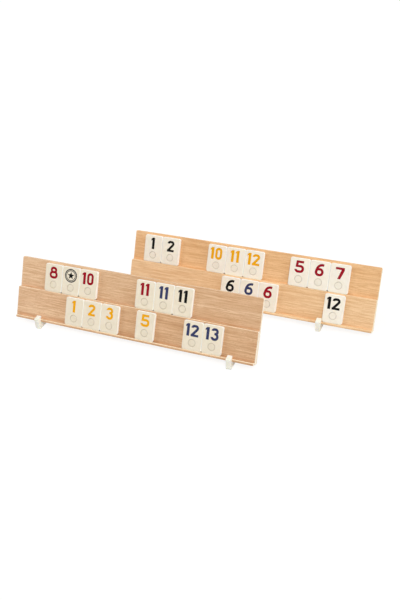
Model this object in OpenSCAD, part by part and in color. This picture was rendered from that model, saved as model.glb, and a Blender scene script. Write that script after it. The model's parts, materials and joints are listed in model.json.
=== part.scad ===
// Pair of two tier wooden tile racks on clip-on feet, with numbered tiles standing on them.
// X runs along the racks, -Y is the side the tiles face, +Z is up, the table is at Z = 0.

/* [Rack boards] */
// Length of each rack along X
rack_l = 342; // [314:1:420]
// Height of the back board, measured up the tilted board
back_h = 82.2; // [76:0.1:110]
// Thickness of the back board
back_t = 4; // [3:0.5:8]
// Height of the middle board, its top edge is the upper ledge
mid_h = 42.2; // [41:0.1:60]
// Thickness of the middle board
mid_t = 5; // [5:0.5:9]
// Height of the lip strip, its top edge is the lower ledge
lip_h = 3.5; // [3:0.1:8]
// Thickness of the lip strip
lip_t = 5; // [5:0.5:9]
// Rounding of the front edges of the lip strip
lip_r = 1.6; // [0.2:0.1:4]
// How far the lip strip stops short of each end of the rack
lip_inset = 2.4; // [0:0.1:5]
// Lean of the boards back from upright, in degrees
tilt = 27.4; // [20:0.1:36]
// Rounding of the upper corners of the back and middle boards
board_r = 1.8; // [0.5:0.1:6]

/* [Clip-on feet] */
// Width of a foot along the rack
foot_w = 6.5; // [4:0.5:12]
// Height of the bottom edge of the back board's front face above the table
board_rise = 4.7; // [3.9:0.1:10]
// Wall in front of the lip strip, measured along the table
foot_front = 4.8; // [3:0.1:8]
// How far the pointed tip of the front jaw rises over the lower ledge
tip_rise = 4.6; // [1.5:0.1:6]
// How far the top of the front jaw slopes down from its tip to its front edge
tip_drop = 1.2; // [0.5:0.1:4]
// Height of the rear jaw up the back board
jaw_h = 32; // [16:1:50]
// Thickness of the rear jaw and of the prop behind it
jaw_t = 2.6; // [1.8:0.1:5]
// Thickness of the base bar on the table
bar_t = 2.6; // [1.8:0.1:5]
// Height of the rear end of the base bar
bar_end_h = 1.8; // [1.4:0.1:2.6]
// How far the base bar reaches behind the bottom of the boards
foot_back = 47; // [34:1:70]
// Rounding of the lower ends of a foot
foot_r = 1.2; // [0.4:0.1:2]
// Clearance between a foot and the boards it slides on
clip_gap = 0.15; // [0.05:0.05:0.5]
// Left end of the front rack to its left foot
front_left_foot = 35.4; // [8:0.5:120]
// Right foot of the front rack to the right end
front_right_foot = 27.2; // [8:0.5:120]
// Left end of the rear rack to its left foot
rear_left_foot = 64.3; // [8:0.5:120]
// Right foot of the rear rack to the right end
rear_right_foot = 64.3; // [8:0.5:120]

/* [Tiles] */
// Width of a tile
tile_w = 26; // [22:0.5:30]
// Height of a tile
tile_h = 37.2; // [36.6:0.1:39]
// Thickness of a tile
tile_t = 4.5; // [3:0.1:4.8]
// Corner rounding of a tile
tile_r = 2; // [0.5:0.1:4]
// Gap between neighbouring tiles
tile_gap = 0.3; // [0.1:0.05:1]
// Running gap between a tile's back and the board it leans on
lean_gap = 0.1; // [0.05:0.05:0.4]
// Depth of the engraved numbers
engrave = 0.5; // [0.3:0.05:1]
// Thickness of the paint in the engraving
paint_t = 0.4; // [0.2:0.05:0.9]
// Diameter of the round dish below the number
dish_d = 10.2; // [6:0.1:12]
// Depth of the dish
dish_deep = 0.4; // [0.1:0.05:0.8]
// Bottom of a tile to the centre of the dish
dish_up = 9.7; // [8:0.1:10]

/* [Numbers] */
// Height of a digit
digit_h = 15.8; // [12:0.1:17]
// Width of a 2, the other digits but 1 follow it
digit_w = 10.2; // [9:0.1:11]
// Width of the strokes
stroke = 3.2; // [2:0.1:3.4]
// Width of the stem of a 1
stem = 3.7; // [2:0.1:4.5]
// How far the flag of a 1 reaches out
flag = 1.6; // [0.5:0.1:2]
// Space between two digits
digit_gap = 2.0; // [1:0.1:3]
// Top of a tile to the top of its number
number_down = 3.5; // [2.5:0.1:5]
// How far the numbers sit to the left of the middle of a tile
number_side = 0.3; // [0:0.1:1]
// How much lower than the others the top of a 2 and of a 7 is
flat_drop = 0.7; // [0:0.1:1.5]
// How far a 6 reaches past the others above and below
swell = 0.3; // [0:0.1:0.6]
// Outer diameter of the ringed star on the spare tile
star_ring_d = 18; // [14:0.1:18.6]
// Width of its outer ring, the inner one is thinner
star_ring_t = 1.4; // [0.8:0.1:1.6]
// Space between its two rings
star_ring_gap = 0.6; // [0.4:0.1:1]
// Tip radius of the star
star_tip = 5.4; // [3:0.1:5.5]

/* [Places of the tiles] */
// Left end of the front rack to its first upper tile
front_upper_start = 39.6; // [10:0.1:60]
// Space between the two upper groups of the front rack
front_upper_space = 56; // [5:0.1:70]
// Left end of the front rack to its first lower tile
front_lower_start = 77.6; // [68:0.1:84]
// Space between the first two lower groups of the front rack
front_lower_space_a = 24.5; // [4:0.1:30]
// Space between the last two lower groups of the front rack
front_lower_space_b = 39.4; // [4:0.1:45]
// Left end of the rear rack to its first upper tile
rear_upper_start = 17.5; // [4:0.1:30]
// Space between the first and the second upper group of the rear rack
rear_upper_space_a = 41.3; // [4:0.1:45]
// Space between the second and the third upper group of the rear rack
rear_upper_space_b = 35.4; // [4:0.1:40]
// Left end of the rear rack to its first lower tile
rear_lower_start = 137; // [80:0.1:142]
// Space between the two lower groups of the rear rack
rear_lower_space = 61.7; // [4:0.1:70]

/* [Places of the racks] */
// How far the rear rack is shifted to the right of the front rack
rear_shift = 119.2; // [0:0.1:200]
// Clear space between the two racks on the table
rack_gap = 43.2; // [5:0.1:120]

/* [Hidden] */
$fn = 64;
over = 1;
FRONT = 0;
REAR = 1;

WOOD_FRONT = [0.86, 0.71, 0.56];
WOOD_REAR = [0.90, 0.74, 0.56];
IVORY = [0.93, 0.89, 0.80];
FOOT = [0.97, 0.94, 0.84];
RED = [0.66, 0.06, 0.12];
ORANGE = [0.92, 0.60, 0.08];
BLUE = [0.17, 0.19, 0.36];
BLACK = [0.07, 0.07, 0.07];

STAR = 10;
tile_pitch = tile_w + tile_gap;
upper_up = mid_h;
lower_up = lip_h;
upper_out = lean_gap;
lower_out = mid_t + lean_gap;

function row(start, digits, inks, up, out, first = 0) = [
    for (i = [0:len(digits) - 1]) [start + (first + i) * tile_pitch, digits[i], inks[i], up, out]
];
function row_end(start, count) = start + count * tile_pitch;
function foot_x(rack, side) =
    side == 0 ? (rack == FRONT ? front_left_foot : rear_left_foot)
    : rack_l - foot_w - (rack == FRONT ? front_right_foot : rear_right_foot);

front_upper_b = row_end(front_upper_start, 3) + front_upper_space;
front_lower_b = row_end(front_lower_start, 3) + front_lower_space_a;
front_lower_c = row_end(front_lower_b, 1) + front_lower_space_b;
rear_upper_b = row_end(rear_upper_start, 2) + rear_upper_space_a;
rear_upper_c = row_end(rear_upper_b, 3) + rear_upper_space_b;
rear_lower_b = row_end(rear_lower_start, 3) + rear_lower_space;

// Each tile: place along the rack, digits, ink colour, height of its ledge, place of its back
FRONT_TILES = concat(
    row(front_upper_start, [[8], [STAR], [1, 0]], [RED, BLACK, RED], upper_up, upper_out),
    row(front_upper_b, [[1, 1], [1, 1], [1, 1]], [RED, BLUE, BLACK], upper_up, upper_out),
    row(front_lower_start, [[1], [2], [3]], [ORANGE, ORANGE, ORANGE], lower_up, lower_out),
    row(front_lower_b, [[5]], [ORANGE], lower_up, lower_out),
    row(front_lower_c, [[1, 2], [1, 3]], [BLUE, BLUE], lower_up, lower_out)
);
REAR_TILES = concat(
    row(rear_upper_start, [[1], [2]], [BLACK, BLACK], upper_up, upper_out),
    row(rear_upper_b, [[1, 0], [1, 1], [1, 2]], [ORANGE, ORANGE, ORANGE], upper_up, upper_out),
    row(rear_upper_c, [[5], [6], [7]], [RED, RED, RED], upper_up, upper_out),
    row(rear_lower_start, [[6], [6], [6]], [BLACK, BLUE, RED], lower_up, lower_out),
    row(rear_lower_b, [[1, 2]], [BLACK], lower_up, lower_out)
);

// A point of the tilted boards, given by its height up the board and its distance in front of the
// back board, as a Y and Z place in the rack
function up_out(up, out) = [
    up * sin(tilt) - out * cos(tilt),
    board_rise + up * cos(tilt) + out * sin(tilt)
];
foot_front_y = up_out(0, mid_t + lip_t)[0] - foot_front;
rack_back_y = max(foot_back, up_out(back_h, -back_t)[0]);
rear_y = rack_back_y + rack_gap - foot_front_y;
centre_x = (rear_shift + rack_l) / 2;
centre_y = (foot_front_y + rear_y + rack_back_y) / 2;

module in_rack(rack) {
    translate([(rack == REAR ? rear_shift : 0) - centre_x, (rack == REAR ? rear_y : 0) - centre_y, 0])
        children();
}

module tilted() {
    translate([0, 0, board_rise])
        rotate([-tilt, 0, 0])
            children();
}

// Turns a flat outline to face the player, grown forward from its back by the thickness
module upright(back, thickness) {
    translate([0, -back, 0])
        rotate([90, 0, 0])
            linear_extrude(thickness)
                children();
}

module round_top(w, h, r) {
    square([w, h - r]);
    translate([r, 0])
        square([w - 2 * r, h]);
    for (x = [r, w - r])
        translate([x, h - r])
            circle(r);
}

module back_board(rack) {
    color(rack == FRONT ? WOOD_FRONT : WOOD_REAR)
        in_rack(rack)
            tilted()
                upright(-back_t, back_t)
                    round_top(rack_l, back_h, board_r);
}

module middle_board(rack) {
    color(rack == FRONT ? WOOD_FRONT : WOOD_REAR)
        in_rack(rack)
            tilted()
                upright(0, mid_t)
                    round_top(rack_l, mid_h, board_r);
}

// Cross-section of the lip strip, front edges to the left
module lip_profile() {
    r = min(lip_r, lip_h / 2 - 0.05);
    translate([r, 0])
        square([lip_t - r, lip_h]);
    translate([0, r])
        square([lip_t, lip_h - 2 * r]);
    for (y = [r, lip_h - r])
        translate([r, y])
            circle(r);
}

module lip_strip(rack) {
    color(rack == FRONT ? WOOD_FRONT : WOOD_REAR)
        in_rack(rack)
            tilted()
                translate([lip_inset, -mid_t - lip_t, 0])
                    rotate([90, 0, 90])
                        linear_extrude(rack_l - 2 * lip_inset)
                            lip_profile();
}

function arc(c, r, from, to, n = 8) = [
    for (i = [0:n]) c + r * [cos(from + (to - from) * i / n), sin(from + (to - from) * i / n)]
];

// The point where a line from p along d meets the line from q along e
function meet(p, d, q, e) =
    let (k = ((q[0] - p[0]) * e[1] - (q[1] - p[1]) * e[0]) / (d[0] * e[1] - d[1] * e[0]))
    p + k * d;

slot_front = mid_t + lip_t + clip_gap;
slot_back = -back_t - clip_gap;
jaw_back = slot_back - jaw_t;
jaw_top = up_out(jaw_h, jaw_back);
jaw_run = up_out(1, 0) - up_out(0, 0);
prop_end = [foot_back, bar_end_h];
prop_run = (prop_end - jaw_top) / norm(prop_end - jaw_top);
prop_inner = jaw_top - jaw_t * [-prop_run[1], prop_run[0]];

// Side view of a foot as Y and Z: front jaw, slot for the boards, rear jaw, prop and base bar
function foot_outline() = concat(
    arc([foot_front_y + foot_r, foot_r], foot_r, 270, 180),
    [
        [foot_front_y, up_out(lip_h + tip_rise, slot_front)[1] - tip_drop],
        up_out(lip_h + tip_rise, slot_front),
        up_out(0, slot_front),
        up_out(0, slot_back),
        up_out(jaw_h, slot_back),
        jaw_top,
        prop_end
    ],
    arc([foot_back - foot_r, foot_r], foot_r, 0, -90)
);

// Window between the rear jaw, the prop and the base bar
function foot_window() = [
    meet(jaw_top, jaw_run, [0, bar_t], [1, 0]),
    meet(jaw_top, jaw_run, prop_inner, prop_run),
    meet([0, bar_t], [1, 0], prop_inner, prop_run)
];

module foot(rack, side) {
    color(FOOT)
        in_rack(rack)
            translate([foot_x(rack, side), 0, 0])
                rotate([90, 0, 90])
                    linear_extrude(foot_w)
                        difference() {
                            polygon(foot_outline());
                            polygon(foot_window());
                        }
}

module round_rect(w, h, r) {
    translate([r, 0])
        square([w - 2 * r, h]);
    translate([0, r])
        square([w, h - 2 * r]);
    for (x = [r, w - r], y = [r, h - r])
        translate([x, y])
            circle(r);
}

// Widths of the digits 0 to 8, as shares of the width of a 2
WIDTHS = [0.94, 0, 1, 1.02, 0, 1.24, 1.12, 1.13, 1.2];
low_h = 0.54 * (digit_h + stroke);
high_h = digit_h + stroke - low_h;

function width_of(d) = d == 1 ? flag + stem : digit_w * WIDTHS[d];

module ring(r, t) {
    difference() {
        circle(r);
        circle(r - t);
    }
}

// Straight stroke with round ends
module stroke_line(from, to) {
    run = norm(to - from);
    translate(from)
        rotate(atan2(to[1] - from[1], to[0] - from[0])) {
            translate([0, -stroke / 2])
                square([run, stroke]);
            circle(stroke / 2);
            translate([run, 0])
                circle(stroke / 2);
        }
}

// Closed stroke round a bowl of a digit
module loop(w, h) {
    r = min(w, h) / 2 - 0.2;
    difference() {
        round_rect(w, h, r);
        translate([stroke, stroke])
            round_rect(w - 2 * stroke, h - 2 * stroke, r - stroke);
    }
}

function curve(p, q, r, t, n = 12) = [
    for (i = [0:n])
        let (k = i / n)
        pow(1 - k, 3) * p + 3 * k * pow(1 - k, 2) * q + 3 * k * k * (1 - k) * r + pow(k, 3) * t
];

function beside(points, d) = [
    for (i = [0:len(points) - 1])
        let (
            run = points[min(i + 1, len(points) - 1)] - points[max(i - 1, 0)]
        )
        points[i] + d / norm(run) * [-run[1], run[0]]
];

// Open stroke with square ends along a line of points
module along(points) {
    left = beside(points, stroke / 2);
    polygon(concat(beside(points, -stroke / 2), [for (i = [len(left) - 1:-1:0]) left[i]]));
}

module zero(w) {
    loop(w, digit_h);
}

module one(w) {
    polygon([
        [flag, 0],
        [w, 0],
        [w, digit_h],
        [flag + 0.2 * stroke, digit_h],
        [0, digit_h - 0.62 * stroke],
        [0, digit_h - 1.4 * stroke],
        [flag, digit_h - 1.05 * stroke]
    ]);
}

module two(w) {
    top = digit_h - flat_drop;
    turn = 0.46 * high_h;
    intersection() {
        translate([0, top - high_h])
            loop(w, high_h);
        translate([0, top - turn])
            square([w, turn]);
    }
    intersection() {
        translate([0, top - high_h])
            loop(w, high_h);
        translate([w / 2, top - 0.6 * high_h])
            square([w / 2, high_h]);
    }
    stroke_line([w - 0.62 * stroke, top - 0.62 * high_h], [stroke / 2 + 0.1, stroke / 2]);
    square([w, 0.92 * stroke]);
}

module three(w) {
    intersection() {
        union() {
            loop(w, low_h);
            translate([0.04 * w, digit_h - high_h])
                loop(0.92 * w, high_h);
        }
        union() {
            translate([0.45 * w, 0])
                square([w, digit_h]);
            square([w, 0.42 * low_h]);
            translate([0, digit_h - 0.42 * high_h])
                square([w, high_h]);
        }
    }
}

module five(w) {
    intersection() {
        loop(w, low_h);
        union() {
            translate([0.46 * w, 0])
                square([w, digit_h]);
            square([w, 0.42 * low_h]);
        }
    }
    polygon([
        [0.09 * w, low_h - stroke + 0.04],
        [0.5 * w, low_h - stroke + 0.04],
        [0.5 * w, low_h - 0.04],
        [0.115 * w + stroke, low_h - 0.3],
        [0.14 * w + stroke, digit_h],
        [0.14 * w, digit_h]
    ]);
    translate([0.15 * w, digit_h - 0.95 * stroke])
        square([0.76 * w, 0.95 * stroke]);
}

module six(w) {
    top = digit_h + swell;
    spine = stroke / 2 + 0.2;
    translate([0, -swell])
        loop(w, low_h + swell);
    along(curve([w - 0.4, top - 0.66 * stroke], [0.62 * w, top - 0.3 * stroke], [spine, 0.8 * top], [spine, 0.42 * low_h]));
}

module seven(w) {
    top = digit_h - flat_drop;
    foot = 0.3 * w;
    polygon([
        [0, top],
        [0, top - 0.92 * stroke],
        [w - 1.25 * stroke, top - 0.92 * stroke],
        [foot, 0],
        [foot + 1.12 * stroke, 0],
        [w, top - 1.1 * stroke],
        [w, top]
    ]);
}

module eight(w) {
    loop(w, low_h);
    translate([0.1 * w, digit_h - high_h])
        loop(0.8 * w, high_h);
}

module star() {
    inner = star_tip * 0.42;
    polygon([
        for (i = [0:9]) (i % 2 == 0 ? star_tip : inner) * [sin(i * 36), cos(i * 36)]
    ]);
    ring(star_ring_d / 2, star_ring_t);
    ring(star_ring_d / 2 - star_ring_t - star_ring_gap, 0.65 * star_ring_t);
}

module digit(d) {
    w = width_of(d);
    if (d == 0) zero(w);
    if (d == 1) one(w);
    if (d == 2) two(w);
    if (d == 3) three(w);
    if (d == 5) five(w);
    if (d == 6) six(w);
    if (d == 7) seven(w);
    if (d == 8) eight(w);
}

// The number of a tile as a flat outline in the tile's own frame
module number(digits) {
    low = tile_h - number_down - digit_h;
    if (digits[0] == STAR)
        translate([tile_w / 2 - number_side, low + digit_h / 2])
            star();
    else {
        // The flag of a leading 1 hangs out of the middled width
        flagged = digits[0] == 1 ? flag : 0;
        total = width_of(digits[0]) + (len(digits) > 1 ? digit_gap + width_of(digits[1]) : 0);
        translate([(tile_w - total - flagged) / 2 - number_side, low]) {
            digit(digits[0]);
            if (len(digits) > 1)
                translate([width_of(digits[0]) + digit_gap, 0])
                    digit(digits[1]);
        }
    }
}

module at_tile(rack, i) {
    tile = (rack == FRONT ? FRONT_TILES : REAR_TILES)[i];
    in_rack(rack)
        tilted()
            translate([tile[0], -tile[4], tile[3]])
                children();
}

module tile(rack, i) {
    color(IVORY)
        at_tile(rack, i)
            difference() {
                upright(0, tile_t)
                    round_rect(tile_w, tile_h, tile_r);
                upright(tile_t - engrave, engrave + over)
                    number((rack == FRONT ? FRONT_TILES : REAR_TILES)[i][1]);
                translate([tile_w / 2, -tile_t + dish_deep, dish_up])
                    rotate([90, 0, 0])
                        cylinder(d = dish_d, h = dish_deep + over);
            }
}

module paint(rack, i) {
    data = (rack == FRONT ? FRONT_TILES : REAR_TILES)[i];
    color(data[2])
        at_tile(rack, i)
            upright(tile_t - engrave, paint_t)
                number(data[1]);
}

back_board(FRONT);  // front_back_board
middle_board(FRONT);  // front_middle_board
lip_strip(FRONT);  // front_lip_strip
foot(FRONT, 0);  // front_foot_left
foot(FRONT, 1);  // front_foot_right
back_board(REAR);  // rear_back_board
middle_board(REAR);  // rear_middle_board
lip_strip(REAR);  // rear_lip_strip
foot(REAR, 0);  // rear_foot_left
foot(REAR, 1);  // rear_foot_right
tile(FRONT, 0);  // front_tile_u1_8_red
tile(FRONT, 1);  // front_tile_u2_star_black
tile(FRONT, 2);  // front_tile_u3_10_red
tile(FRONT, 3);  // front_tile_u4_11_red
tile(FRONT, 4);  // front_tile_u5_11_blue
tile(FRONT, 5);  // front_tile_u6_11_black
tile(FRONT, 6);  // front_tile_l1_1_orange
tile(FRONT, 7);  // front_tile_l2_2_orange
tile(FRONT, 8);  // front_tile_l3_3_orange
tile(FRONT, 9);  // front_tile_l4_5_orange
tile(FRONT, 10);  // front_tile_l5_12_blue
tile(FRONT, 11);  // front_tile_l6_13_blue
tile(REAR, 0);  // rear_tile_u1_1_black
tile(REAR, 1);  // rear_tile_u2_2_black
tile(REAR, 2);  // rear_tile_u3_10_orange
tile(REAR, 3);  // rear_tile_u4_11_orange
tile(REAR, 4);  // rear_tile_u5_12_orange
tile(REAR, 5);  // rear_tile_u6_5_red
tile(REAR, 6);  // rear_tile_u7_6_red
tile(REAR, 7);  // rear_tile_u8_7_red
tile(REAR, 8);  // rear_tile_l1_6_black
tile(REAR, 9);  // rear_tile_l2_6_blue
tile(REAR, 10);  // rear_tile_l3_6_red
tile(REAR, 11);  // rear_tile_l4_12_black
paint(FRONT, 0);  // front_paint_u1_8_red
paint(FRONT, 1);  // front_paint_u2_star_black
paint(FRONT, 2);  // front_paint_u3_10_red
paint(FRONT, 3);  // front_paint_u4_11_red
paint(FRONT, 4);  // front_paint_u5_11_blue
paint(FRONT, 5);  // front_paint_u6_11_black
paint(FRONT, 6);  // front_paint_l1_1_orange
paint(FRONT, 7);  // front_paint_l2_2_orange
paint(FRONT, 8);  // front_paint_l3_3_orange
paint(FRONT, 9);  // front_paint_l4_5_orange
paint(FRONT, 10);  // front_paint_l5_12_blue
paint(FRONT, 11);  // front_paint_l6_13_blue
paint(REAR, 0);  // rear_paint_u1_1_black
paint(REAR, 1);  // rear_paint_u2_2_black
paint(REAR, 2);  // rear_paint_u3_10_orange
paint(REAR, 3);  // rear_paint_u4_11_orange
paint(REAR, 4);  // rear_paint_u5_12_orange
paint(REAR, 5);  // rear_paint_u6_5_red
paint(REAR, 6);  // rear_paint_u7_6_red
paint(REAR, 7);  // rear_paint_u8_7_red
paint(REAR, 8);  // rear_paint_l1_6_black
paint(REAR, 9);  // rear_paint_l2_6_blue
paint(REAR, 10);  // rear_paint_l3_6_red
paint(REAR, 11);  // rear_paint_l4_12_black
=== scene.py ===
import json
import math

import bmesh
import bpy
from mathutils import Matrix, Vector


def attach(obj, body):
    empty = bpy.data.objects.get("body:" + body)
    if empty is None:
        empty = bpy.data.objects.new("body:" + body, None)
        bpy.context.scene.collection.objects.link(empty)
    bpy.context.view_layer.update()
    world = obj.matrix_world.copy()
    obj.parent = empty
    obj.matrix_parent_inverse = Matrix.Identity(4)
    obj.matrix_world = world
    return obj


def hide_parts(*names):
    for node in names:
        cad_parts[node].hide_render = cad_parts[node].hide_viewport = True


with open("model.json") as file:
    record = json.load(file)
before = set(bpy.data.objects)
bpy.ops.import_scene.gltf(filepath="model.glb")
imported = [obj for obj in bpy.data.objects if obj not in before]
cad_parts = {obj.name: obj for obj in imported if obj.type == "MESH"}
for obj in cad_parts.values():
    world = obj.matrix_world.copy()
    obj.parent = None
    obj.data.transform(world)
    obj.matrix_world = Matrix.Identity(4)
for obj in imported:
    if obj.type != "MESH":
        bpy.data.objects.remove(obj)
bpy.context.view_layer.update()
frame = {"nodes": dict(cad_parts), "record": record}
scene = bpy.context.scene


# ---------------------------------------------------------------- sizes

MM = 0.001
TILT = math.radians(27.4)
LEAN = Matrix.Rotation(-TILT, 4, "X")
UPRIGHT = LEAN.inverted()

# Rounding of a board's corners, from bottom left, and of the rims of its faces
BOARD_CORNERS = (0.9 * MM, 0.9 * MM, 1.8 * MM, 1.8 * MM)
FRONT_RIM = {"back": 0.8 * MM, "middle": 0.55 * MM}
BEHIND_RIM = 0.5 * MM
# Rounding of the other sharp edges
LIP_EDGE = 0.35 * MM
FOOT_EDGE = 0.45 * MM
# How much longer the lip is at its right end than its solid
LIP_RIGHT_END = 2.1 * MM

TILE_CORNER = 2.6 * MM
TILE_EDGE = 1.1 * MM
# How far a tile reaches into the gap to its neighbour
TILE_SNUG = 0.13 * MM

DISH_RADIUS = 5.1 * MM
DISH_DEPTH = 0.35 * MM
# Depth of the groove inside the dish's wall, under the floor of the dish
DISH_GROOVE = 0.4 * MM
# Bottom of a tile to the middle of its dish
DISH_UP = 9.7 * MM
DISH_STEPS = 48

# Vertices closer than this become one
WELD = 0.002 * MM
# How far a cutter stands out of the face that it cuts
CUTTER_OUT = 1 * MM
# How far the floor lies under the feet
FLOOR_DROP = 0.3 * MM


# ---------------------------------------------------------------- materials

def linear(red, green, blue):
    """A colour given as 0 to 255 display values, as the linear values that shaders take."""
    def channel(v):
        v /= 255
        return v / 12.92 if v <= 0.04045 else ((v + 0.055) / 1.055) ** 2.4
    return (channel(red), channel(green), channel(blue), 1)


def colours(*displayed):
    return tuple(linear(*values) for values in displayed)


def shade(colour, by):
    """A linear colour times a factor for each channel."""
    return tuple(c * k for c, k in zip(colour[:3], by)) + (1,)


class Nodes:
    """Short names for building the node tree of a material or of a world."""

    def __init__(self, owner, output="ShaderNodeOutputMaterial"):
        owner.use_nodes = True
        self.owner = owner
        self.tree = owner.node_tree
        self.tree.nodes.clear()
        self.out = self.add(output)

    def add(self, kind, **settings):
        node = self.tree.nodes.new(kind)
        for key, value in settings.items():
            setattr(node, key, value)
        return node

    def link(self, a, b):
        self.tree.links.new(a, b)

    def put(self, socket, value):
        if isinstance(value, bpy.types.NodeSocket):
            self.link(value, socket)
        else:
            socket.default_value = value

    def coords(self, scale=(1, 1, 1), offset=(0, 0, 0)):
        """Object coordinates, scaled and then moved."""
        tex = self.add("ShaderNodeTexCoord")
        mapping = self.add("ShaderNodeMapping", vector_type="POINT")
        self.link(tex.outputs["Object"], mapping.inputs["Vector"])
        mapping.inputs["Location"].default_value = offset
        mapping.inputs["Scale"].default_value = scale
        return mapping.outputs["Vector"]

    def axis(self, source, name):
        """One axis of a kind of texture coordinates."""
        tex = self.add("ShaderNodeTexCoord")
        split = self.add("ShaderNodeSeparateXYZ")
        self.link(tex.outputs[source], split.inputs[0])
        return split.outputs[name]

    def noise(self, scale, offset=(0, 0, 0), detail=3.0, roughness=0.55, distortion=0.0):
        node = self.add("ShaderNodeTexNoise")
        self.link(self.coords(scale, offset), node.inputs["Vector"])
        node.inputs["Scale"].default_value = 1
        node.inputs["Detail"].default_value = detail
        node.inputs["Roughness"].default_value = roughness
        node.inputs["Distortion"].default_value = distortion
        return node.outputs["Fac"]

    def ramp(self, value, low, high, out_low=0.0, out_high=1.0):
        node = self.add("ShaderNodeMapRange", interpolation_type="SMOOTHSTEP")
        self.put(node.inputs["Value"], value)
        node.inputs["From Min"].default_value = low
        node.inputs["From Max"].default_value = high
        node.inputs["To Min"].default_value = out_low
        node.inputs["To Max"].default_value = out_high
        return node.outputs["Result"]

    def math(self, operation, a, b=0.0):
        node = self.add("ShaderNodeMath", operation=operation)
        self.put(node.inputs[0], a)
        self.put(node.inputs[1], b)
        return node.outputs["Value"]

    def mix(self, factor, a, b, blend="MIX"):
        node = self.add("ShaderNodeMix", data_type="RGBA", blend_type=blend)
        self.put(node.inputs["Factor"], factor)
        self.put(node.inputs[6], a)
        self.put(node.inputs[7], b)
        return node.outputs[2]

    def bump(self, height, strength, distance):
        node = self.add("ShaderNodeBump")
        self.link(height, node.inputs["Height"])
        node.inputs["Strength"].default_value = strength
        node.inputs["Distance"].default_value = distance
        return node.outputs["Normal"]

    def shader(self, kind, **inputs):
        """A shader whose inputs are named with underscores in place of spaces."""
        node = self.add(kind)
        for key, value in inputs.items():
            self.put(node.inputs[key.replace("_", " ")], value)
        return node.outputs[0]

    def mix_shader(self, factor, a, b):
        node = self.add("ShaderNodeMixShader")
        for source, socket in zip((factor, a, b), node.inputs):
            self.link(source, socket)
        return node.outputs[0]

    def finish(self, shader):
        self.link(shader, self.out.inputs["Surface"])
        return self.owner

    def surface(self, **inputs):
        return self.finish(self.shader("ShaderNodeBsdfPrincipled", **inputs))


def material_nodes(name):
    return Nodes(bpy.data.materials.new(name))


def beech(name, tones, seed, varnish=0.05, light_falloff=None):
    """Planed beech with its grain along X: soft bands, fine streaks and short dark rays.

    tones are its pale, middle and dark colours. The last argument is painted light: a paler
    left end that stands in for light falling off along the boards, given as two places along X
    between which it fades out, and the factors for its colour.
    """
    pale, middle, dark = tones
    n = material_nodes(name)
    shift = (seed * 1.37, seed * 0.61, seed * 0.43)
    bands = n.noise((3.0, 90, 70), shift, detail=3, distortion=0.35)
    streaks = n.noise((13, 560, 430), shift, detail=2.5, roughness=0.65)
    clouds = n.noise((14, 60, 45), shift, detail=2)
    flecks = n.noise((28, 1250, 1000), shift, detail=2)
    rays = n.noise((60, 3000, 2700), shift, detail=1)
    pores = n.noise((430, 1250, 1100), shift, detail=1)
    tone = n.mix(n.ramp(bands, 0.30, 0.74), pale, middle)
    tone = n.mix(n.ramp(clouds, 0.35, 0.75, 0, 0.28), tone, middle)
    for layer, low, high, share in (
        (streaks, 0.42, 0.66, 0.36),
        (flecks, 0.46, 0.66, 0.50),
        (rays, 0.50, 0.66, 0.62),
        (pores, 0.56, 0.70, 0.36),
    ):
        tone = n.mix(n.ramp(layer, low, high, 0, share), tone, dark)
    # Painted light: the left end made paler, standing in for light falling off along the boards
    if light_falloff:
        start, end, factors = light_falloff
        paler = n.ramp(n.axis("Object", "X"), start, end, 1, 0)
        tone = n.mix(paler, tone, (*factors, 1), "MULTIPLY")
    height = n.math("ADD", n.math("MULTIPLY", streaks, 0.7), n.math("MULTIPLY", rays, 0.3))
    return n.surface(
        Base_Color=tone, Roughness=n.ramp(streaks, 0.25, 0.8, 0.46, 0.60),
        Specular_IOR_Level=0.30, Coat_Weight=varnish, Coat_Roughness=0.32,
        Normal=n.bump(height, 0.22, 0.12 * MM),
    )


def ivory(name, face, edge, seed):
    """Moulded tile plastic: faint clouding, glassier at the polished edges, with a painted
    highlight that makes the rims paler.
    """
    n = material_nodes(name)
    shift = (seed * 0.9, seed * 0.5, seed * 0.7)
    clouds = n.noise((160, 160, 160), shift, detail=4, roughness=0.6)
    fine = n.noise((1500, 1500, 1500), shift, detail=2)
    # Painted highlight: the rounded rims, whose normals turn away from Y, take the paler edge
    # colour
    facing = n.math("ABSOLUTE", n.axis("Normal", "Y"))
    lit_rim = n.ramp(facing, 0.70, 0.995, 1, 0)
    tone = n.mix(n.ramp(clouds, 0.35, 0.7), face, shade(face, (0.965, 0.955, 0.93)))
    tone = n.mix(lit_rim, tone, edge)
    return n.surface(
        Base_Color=tone, Roughness=n.ramp(fine, 0.3, 0.7, 0.30, 0.38), IOR=1.49,
        Subsurface_Weight=0.12, Subsurface_Scale=1.0,
        Subsurface_Radius=(0.9 * MM, 0.7 * MM, 0.45 * MM),
        Coat_Weight=n.ramp(lit_rim, 0, 1, 0.08, 0.75), Coat_Roughness=0.2,
        Normal=n.bump(n.math("ADD", fine, clouds), 0.10, 0.05 * MM),
    )


def tile_plastics(rack, face, edge, seed):
    """The plastic of one rack's tiles: of their outside, and darker copies with painted shade
    for the dish and its groove.
    """
    # Painted shade: the dish a little darker than the face, and its groove darker still
    dish = shade(face, (0.955, 0.955, 0.95))
    groove = shade(face, (0.80, 0.79, 0.77))
    return (
        ivory(f"tile_plastic_{rack}", face, edge, seed),
        ivory(f"tile_dish_shade_{rack}", dish, dish, seed),
        ivory(f"tile_groove_shade_{rack}", groove, groove, seed),
    )


def paint(name, colour, worn):
    """Paint settled in the engraving, a little uneven and thinner in spots."""
    n = material_nodes(name)
    pool = n.noise((700, 700, 700), detail=3)
    grain = n.noise((4200, 4200, 4200), detail=2)
    return n.surface(
        Base_Color=n.mix(n.ramp(pool, 0.38, 0.72), colour, worn),
        Roughness=n.ramp(pool, 0.3, 0.7, 0.5, 0.62), Specular_IOR_Level=0.12,
        Normal=n.bump(grain, 0.18, 0.05 * MM),
    )


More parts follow.
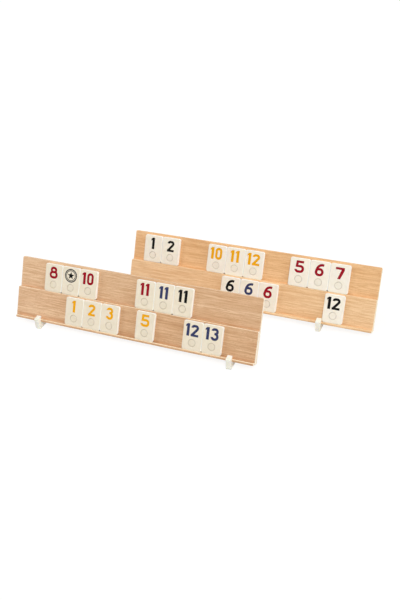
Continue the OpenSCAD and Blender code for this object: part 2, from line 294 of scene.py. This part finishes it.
def foot_plastic(name, colour, deep):
    """Glossy moulded cream plastic with a faint orange peel and a few scuffs."""
    n = material_nodes(name)
    peel = n.noise((900, 900, 900), detail=2)
    clouds = n.noise((120, 120, 120), detail=3)
    scuff = n.noise((300, 2600, 2600), detail=2)
    rough = n.math("ADD", n.ramp(peel, 0.3, 0.7, 0.24, 0.30), n.ramp(scuff, 0.62, 0.8, 0, 0.22))
    return n.surface(
        Base_Color=n.mix(n.ramp(clouds, 0.3, 0.75), colour, deep), Roughness=rough, IOR=1.5,
        Subsurface_Weight=0.45, Subsurface_Scale=1.0,
        Subsurface_Radius=(3.0 * MM, 2.6 * MM, 2.0 * MM),
        Coat_Weight=0.2, Coat_Roughness=0.12,
        Normal=n.bump(peel, 0.12, 0.05 * MM),
    )


# Pale, middle and dark colour of the wood
FRONT_UPPER = colours((237, 202, 164), (226, 186, 146), (194, 144, 100))
FRONT_LOWER = colours((234, 197, 157), (223, 180, 139), (189, 137, 93))
REAR_UPPER = colours((250, 209, 160), (240, 194, 142), (209, 152, 96))
REAR_LOWER = colours((251, 216, 172), (244, 203, 156), (214, 163, 111))
# Painted light: the edge tones are a painted highlight for the rounded front edges, and the end
# tones make the board ends near-white
FRONT_EDGE_HIGHLIGHT = colours((255, 240, 208), (255, 236, 202), (252, 220, 184))
FRONT_END_LIT = colours((255, 250, 236), (255, 246, 226), (244, 222, 190))
REAR_EDGE_HIGHLIGHT = colours((255, 228, 186), (254, 220, 174), (238, 196, 148))
REAR_END_LIT = colours((255, 250, 232), (255, 244, 218), (246, 222, 182))

# Wood of each rack's boards with painted light: a painted highlight for the rounded front
# edges, and near-white painted light for the ends
PAINTED_LIGHT_TRIM = {
    "front": (
        beech("front_edge_highlight", FRONT_EDGE_HIGHLIGHT, 3.1, varnish=0.6),
        beech("front_end_lit", FRONT_END_LIT, 5.7),
    ),
    "rear": (
        beech("rear_edge_highlight", REAR_EDGE_HIGHLIGHT, 9.2, varnish=0.3),
        beech("rear_end_lit", REAR_END_LIT, 14.9),
    ),
}
# Tones, seed and painted light falloff (a paler left end) of each board's face
BOARDS = {
    "front_back_board": (FRONT_UPPER, 1.0, (-0.21, -0.10, (1.12, 1.17, 1.23))),
    "front_middle_board": (FRONT_LOWER, 4.3, (-0.21, -0.08, (1.12, 1.18, 1.27))),
    "front_lip_strip": (FRONT_LOWER, 7.9, (-0.21, -0.08, (1.08, 1.10, 1.14))),
    "rear_back_board": (REAR_UPPER, 12.4, (-0.10, 0.02, (1.04, 1.05, 1.09))),
    "rear_middle_board": (REAR_LOWER, 17.7, (-0.10, 0.06, (1.06, 1.12, 1.20))),
    "rear_lip_strip": (REAR_LOWER, 21.2, (-0.10, 0.06, (1.02, 1.04, 1.06))),
}
PAINTS = {
    "red": paint("red_paint", linear(162, 10, 36), linear(140, 8, 28)),
    "orange": paint("orange_paint", linear(244, 176, 14), linear(234, 162, 8)),
    "blue": paint("blue_paint", linear(60, 66, 104), linear(50, 56, 92)),
    "black": paint("black_paint", linear(8, 7, 7), linear(18, 17, 16)),
}
FOOT_PLASTIC = foot_plastic("foot_plastic", linear(255, 253, 238), linear(255, 251, 234))
# Face colour and painted-highlight rim colour of each rack's tiles
TILE_PLASTIC_AND_RACK_LIGHT = {
    "front": tile_plastics("front", linear(242, 231, 210), linear(255, 254, 246), 3.0),
    # The rear rack's tiles are a brighter copy of the same plastic, painted light for the extra
    # light on the rear rack
    "rear": tile_plastics("rear", linear(252, 245, 231), linear(255, 255, 250), 8.0),
}


# ---------------------------------------------------------------- shapes

def upright_box(node):
    """Lowest and highest corner of a node once the lean of the boards is taken off."""
    points = [UPRIGHT @ v.co for v in frame["nodes"][node].data.vertices]
    return (
        Vector([min(p[i] for p in points) for i in range(3)]),
        Vector([max(p[i] for p in points) for i in range(3)]),
    )


def mesh_of(bm, name):
    mesh = bpy.data.meshes.new(name)
    bm.to_mesh(mesh)
    bm.free()
    return mesh


def rounded_outline(low, high, radii, inset, steps):
    """X and Z points round a rectangle with its own radius at each corner, from bottom left."""
    corners = [
        (low.x, low.z, 1, 1, 180), (high.x, low.z, -1, 1, 270),
        (high.x, high.z, -1, -1, 0), (low.x, high.z, 1, -1, 90),
    ]
    points = []
    for (x, z, sx, sz, start), r in zip(corners, radii):
        for i in range(steps + 1):
            a = math.radians(start + 90 * i / steps)
            points.append((
                x + sx * r + (r - inset) * math.cos(a),
                z + sz * r + (r - inset) * math.sin(a),
            ))
    return points


def rim_levels(radius, y, inwards, rounds):
    """Inset and Y of the rings round a face at y, from the face to the side of the slab."""
    turns = [math.pi / 2 * k / rounds for k in range(rounds + 1)]
    return [
        (radius * (1 - math.sin(a)), y + inwards * radius * (1 - math.cos(a))) for a in turns
    ]


def slab_mesh(name, low, high, radii, front, behind, steps=6, rounds=5):
    """A slab facing -Y: radii round its corners, front and behind round its two rims.

    A corner is always a little rounder than the rims, so that no edge shrinks to nothing.
    """
    radii = [max(r, 1.02 * max(front, behind)) for r in radii]
    levels = rim_levels(front, low.y, 1, rounds) + rim_levels(behind, high.y, -1, rounds)[::-1]
    bm = bmesh.new()
    rings = [
        [bm.verts.new((x, y, z)) for x, z in rounded_outline(low, high, radii, inset, steps)]
        for inset, y in levels
    ]
    count = len(rings[0])
    for a, b in zip(rings, rings[1:]):
        for i in range(count):
            j = (i + 1) % count
            bm.faces.new((a[i], a[j], b[j], b[i]))
    bm.faces.new(rings[0][::-1])
    bm.faces.new(rings[-1])
    bmesh.ops.recalc_face_normals(bm, faces=bm.faces)
    return mesh_of(bm, name)


def softened_mesh(name, node, width, turn=None):
    """The CAD mesh of a node with its sharp edges rounded by width."""
    bm = bmesh.new()
    bm.from_mesh(frame["nodes"][node].data)
    if turn:
        bmesh.ops.transform(bm, matrix=turn, verts=bm.verts)
    bmesh.ops.remove_doubles(bm, verts=bm.verts, dist=WELD)
    bmesh.ops.dissolve_limit(bm, angle_limit=math.radians(1), verts=bm.verts, edges=bm.edges)
    sharp = [
        e for e in bm.edges
        if len(e.link_faces) == 2 and e.calc_face_angle() > math.radians(25)
    ]
    bmesh.ops.bevel(
        bm, geom=sharp, offset=width, offset_type="OFFSET", segments=3, profile=0.5,
        affect="EDGES", clamp_overlap=True,
    )
    return mesh_of(bm, name)


def lengthen_right(mesh, by):
    """Moves the right end of a long mesh outwards."""
    middle = sum(v.co.x for v in mesh.vertices) / len(mesh.vertices)
    for v in mesh.vertices:
        if v.co.x > middle:
            v.co.x += by


def cut(mesh, cutters):
    """mesh with the cutter meshes taken out of it, as a new mesh."""
    base = bpy.data.objects.new("cut_base", mesh)
    scene.collection.objects.link(base)
    tools = []
    for i, cutter in enumerate(cutters):
        tool = bpy.data.objects.new(f"cut_tool_{i}", cutter)
        scene.collection.objects.link(tool)
        modifier = base.modifiers.new(f"cut_{i}", "BOOLEAN")
        modifier.operation = "DIFFERENCE"
        modifier.solver = "EXACT"
        modifier.object = tool
        tools.append(tool)
    graph = bpy.context.evaluated_depsgraph_get()
    made = bpy.data.meshes.new_from_object(base.evaluated_get(graph), depsgraph=graph)
    made.name = mesh.name
    for o in [base, *tools]:
        bpy.data.objects.remove(o)
    return made


def engraving_cutter(node, front_y):
    """The paint solid of a tile, welded and drawn out through the tile's face."""
    bm = bmesh.new()
    bm.from_mesh(frame["nodes"][node].data)
    bmesh.ops.transform(bm, matrix=UPRIGHT, verts=bm.verts)
    bmesh.ops.remove_doubles(bm, verts=bm.verts, dist=WELD)
    middle = sum(v.co.y for v in bm.verts) / len(bm.verts)
    for v in bm.verts:
        if v.co.y < middle:
            v.co.y = front_y - CUTTER_OUT
    bmesh.ops.dissolve_limit(bm, angle_limit=math.radians(0.5), verts=bm.verts, edges=bm.edges)
    bmesh.ops.recalc_face_normals(bm, faces=bm.faces)
    return mesh_of(bm, node + "_cutter")


def dish_cutter(name, centre_x, centre_z, front_y):
    """A turned shape that leaves a round dish with a groove just inside its wall."""
    # Shares of the dish's radius, and depths under the tile's face
    profile = [
        (0.72, DISH_DEPTH), (0.80, DISH_DEPTH + 0.06 * DISH_GROOVE),
        (0.84, DISH_DEPTH + 0.6 * DISH_GROOVE), (0.88, DISH_DEPTH + DISH_GROOVE),
        (0.93, DISH_DEPTH + DISH_GROOVE), (0.97, DISH_DEPTH + 0.5 * DISH_GROOVE),
        (0.985, 0.3 * DISH_DEPTH), (1.0, 0.08 * DISH_DEPTH),
        (1.03, -0.2 * DISH_DEPTH), (1.03, -CUTTER_OUT),
    ]
    turns = [2 * math.pi * k / DISH_STEPS for k in range(DISH_STEPS)]
    bm = bmesh.new()
    bottom = bm.verts.new((centre_x, front_y + DISH_DEPTH, centre_z))
    rings = []
    for share, depth in profile:
        r = share * DISH_RADIUS
        rings.append([
            bm.verts.new((
                centre_x + r * math.cos(a), front_y + depth, centre_z + r * math.sin(a),
            )) for a in turns
        ])
    for k in range(DISH_STEPS):
        j = (k + 1) % DISH_STEPS
        bm.faces.new((bottom, rings[0][k], rings[0][j]))
        for a, b in zip(rings, rings[1:]):
            bm.faces.new((a[k], b[k], b[j], a[j]))
    bm.faces.new(rings[-1])
    bmesh.ops.recalc_face_normals(bm, faces=bm.faces)
    return mesh_of(bm, name)


# ---------------------------------------------------------------- pieces

BODY_OF = {
    node: body
    for body, members in frame["record"]["behaviour"]["bodies"].items() for node in members
}


def place(name, mesh, materials, node, turn=None):
    """Puts a mesh in place of a CAD node, on its body, turned if it was made upright."""
    mesh.polygons.foreach_set("use_smooth", [True] * len(mesh.polygons))
    mesh.set_sharp_from_angle(angle=math.radians(32))
    mesh.update()
    mesh.materials.clear()
    for material in materials:
        mesh.materials.append(material)
    piece = bpy.data.objects.new(name, mesh)
    scene.collection.objects.link(piece)
    if turn:
        piece.matrix_world = turn
    modifier = piece.modifiers.new("flat_faces", "WEIGHTED_NORMAL")
    modifier.weight = 100
    modifier.keep_sharp = True
    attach(piece, BODY_OF[node])
    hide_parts(node)


# Materials of a board by number, and how far up the normal of an edge with a painted highlight
# points
WOOD_FACE, WOOD_EDGE_HIGHLIGHT, WOOD_END_LIT = range(3)
HIGHLIGHT_NORMAL_Z = {"back": 0.8, "middle": 0.12, "lip": 0.5}

for node, (tones, seed, light_falloff) in BOARDS.items():
    rack, kind, _ = node.split("_")
    name = node + "_wood"
    if kind == "lip":
        mesh = softened_mesh(name, node, LIP_EDGE, UPRIGHT)
        lengthen_right(mesh, LIP_RIGHT_END)
    else:
        low, high = upright_box(node)
        mesh = slab_mesh(name, low, high, BOARD_CORNERS, FRONT_RIM[kind], BEHIND_RIM)
    wood = beech(node + "_beech", tones, seed, light_falloff=light_falloff)
    place(name, mesh, (wood, *PAINTED_LIGHT_TRIM[rack]), node, LEAN)
    for f in mesh.polygons:
        # End faces take the near-white wood, painted light standing in for strong light from
        # the right
        if abs(f.normal.x) > 0.5:
            f.material_index = WOOD_END_LIT
        # Upward front roundings take the wood with a painted highlight
        elif f.normal.y < -0.05 and f.normal.z > HIGHLIGHT_NORMAL_Z[kind]:
            f.material_index = WOOD_EDGE_HIGHLIGHT
        else:
            f.material_index = WOOD_FACE

# Materials of a tile by number: the face, and the dish and its groove darkened with painted
# shade
TILE_FACE, TILE_DISH_SHADE, TILE_GROOVE_SHADE = range(3)

for node in sorted(n for n in frame["nodes"] if "_tile_" in n):
    rack, _, rest = node.partition("_tile_")
    paint_node = f"{rack}_paint_{rest}"
    name = node + "_ivory"
    low, high = upright_box(node)
    centre_x, centre_z = (low.x + high.x) / 2, low.z + DISH_UP
    low.x -= TILE_SNUG
    high.x += TILE_SNUG
    blank = slab_mesh(name, low, high, [TILE_CORNER] * 4, TILE_EDGE, TILE_EDGE, steps=8)
    mesh = cut(blank, [
        engraving_cutter(paint_node, low.y),
        dish_cutter(node + "_dish", centre_x, centre_z, low.y),
    ])
    place(name, mesh, TILE_PLASTIC_AND_RACK_LIGHT[rack], node, LEAN)
    # Faces in the dish and its groove take the materials with painted shade
    for f in mesh.polygons:
        far = math.hypot(f.center.x - centre_x, f.center.z - centre_z)
        sunk = low.y + 0.01 * MM < f.center.y < low.y + 1 * MM
        if far > 1.02 * DISH_RADIUS or not sunk:
            f.material_index = TILE_FACE
        elif far < 0.76 * DISH_RADIUS:
            f.material_index = TILE_DISH_SHADE
        else:
            f.material_index = TILE_GROOVE_SHADE
    ink = frame["nodes"][paint_node]
    ink.data.materials.clear()
    ink.data.materials.append(PAINTS[rest.rpartition("_")[2]])

for node in sorted(n for n in frame["nodes"] if "_foot_" in n):
    name = node + "_moulded"
    place(name, softened_mesh(name, node, FOOT_EDGE), [FOOT_PLASTIC], node)


# ---------------------------------------------------------------- floor, light, camera

def floor_material():
    """Pale grey for the light, and an even white with faint shadows for the camera."""
    n = material_nodes("floor_white")
    ray = n.add("ShaderNodeLightPath")
    plain = n.shader("ShaderNodeBsdfDiffuse", Color=(0.86, 0.86, 0.86, 1))
    seen = n.shader("ShaderNodeBsdfDiffuse", Color=(0.20, 0.20, 0.20, 1))
    glow = n.shader("ShaderNodeEmission", Color=(1, 1, 1, 1), Strength=0.86)
    both = n.add("ShaderNodeAddShader")
    n.link(seen, both.inputs[0])
    n.link(glow, both.inputs[1])
    return n.finish(n.mix_shader(ray.outputs["Is Camera Ray"], plain, both.outputs[0]))


def soft_white_world():
    """White where the camera or a reflection sees it, and a soft light for the rest."""
    n = Nodes(bpy.data.worlds.new("studio"), "ShaderNodeOutputWorld")
    ray = n.add("ShaderNodeLightPath")
    soft = n.shader("ShaderNodeBackground", Color=(1, 0.995, 0.985, 1), Strength=0.30)
    white = n.shader("ShaderNodeBackground", Color=(1, 1, 1, 1), Strength=1)
    seen = n.math("MAXIMUM", ray.outputs["Is Camera Ray"], ray.outputs["Is Glossy Ray"])
    return n.finish(n.mix_shader(seen, soft, white))


def light(name, kind, towards, energy, **settings):
    """A lamp that shines from where towards points."""
    lamp = bpy.data.lights.new(name, kind)
    lamp.energy = energy
    for key, value in settings.items():
        setattr(lamp, key, value)
    holder = bpy.data.objects.new(name, lamp)
    holder.rotation_mode = "QUATERNION"
    holder.rotation_quaternion = Vector(towards).to_track_quat("Z", "Y")
    scene.collection.objects.link(holder)
    return holder


bm = bmesh.new()
bmesh.ops.create_grid(bm, x_segments=8, y_segments=8, size=3)
floor = bpy.data.objects.new("floor", mesh_of(bm, "floor"))
floor.location.z = -FLOOR_DROP
scene.collection.objects.link(floor)
floor.data.materials.append(floor_material())

scene.world = soft_white_world()

WARM = (1, 0.99, 0.97)
MILD = (1, 0.995, 0.985)
for name, towards, energy, spread, colour in (
    ("above", (0.40, -0.45, 0.80), 0.88, 11, WARM),
    ("left", (-0.75, -0.30, 0.60), 0.78, 16, WARM),
    ("right", (1.0, -0.22, 0.34), 0.88, 45, MILD),
    ("behind", (0.25, 0.85, 0.50), 0.40, 40, MILD),
):
    light(name, "SUN", towards, energy, angle=math.radians(spread), color=colour)
disk = light("over_rear", "AREA", (0.0, -0.12, 0.55), 0.65, shape="DISK", size=0.45)
disk.location = (0.05, -0.02, 0.60)

# The camera's place and the directions of its view, fitted to the outlines of both racks
CAMERA_PLACE = (0.37018, -0.74835, 0.62476)
CAMERA_RIGHT = Vector((0.92069, 0.38346, -0.07274))
CAMERA_UP = Vector((-0.16906, 0.55979, 0.81120))
CAMERA_AHEAD = Vector((-0.35179, 0.73457, -0.58022))
CAMERA_LENS = 47.00

camera = bpy.data.objects.new("camera", bpy.data.cameras.new("camera"))
scene.collection.objects.link(camera)
turn = Matrix((CAMERA_RIGHT, CAMERA_UP, -CAMERA_AHEAD)).transposed().to_4x4()
camera.matrix_world = Matrix.Translation(CAMERA_PLACE) @ turn
camera.data.sensor_fit = "AUTO"
camera.data.sensor_width = 36
camera.data.lens = CAMERA_LENS
camera.data.clip_start = 0.01
camera.data.clip_end = 20
scene.camera = camera
scene.view_settings.view_transform = "Standard"
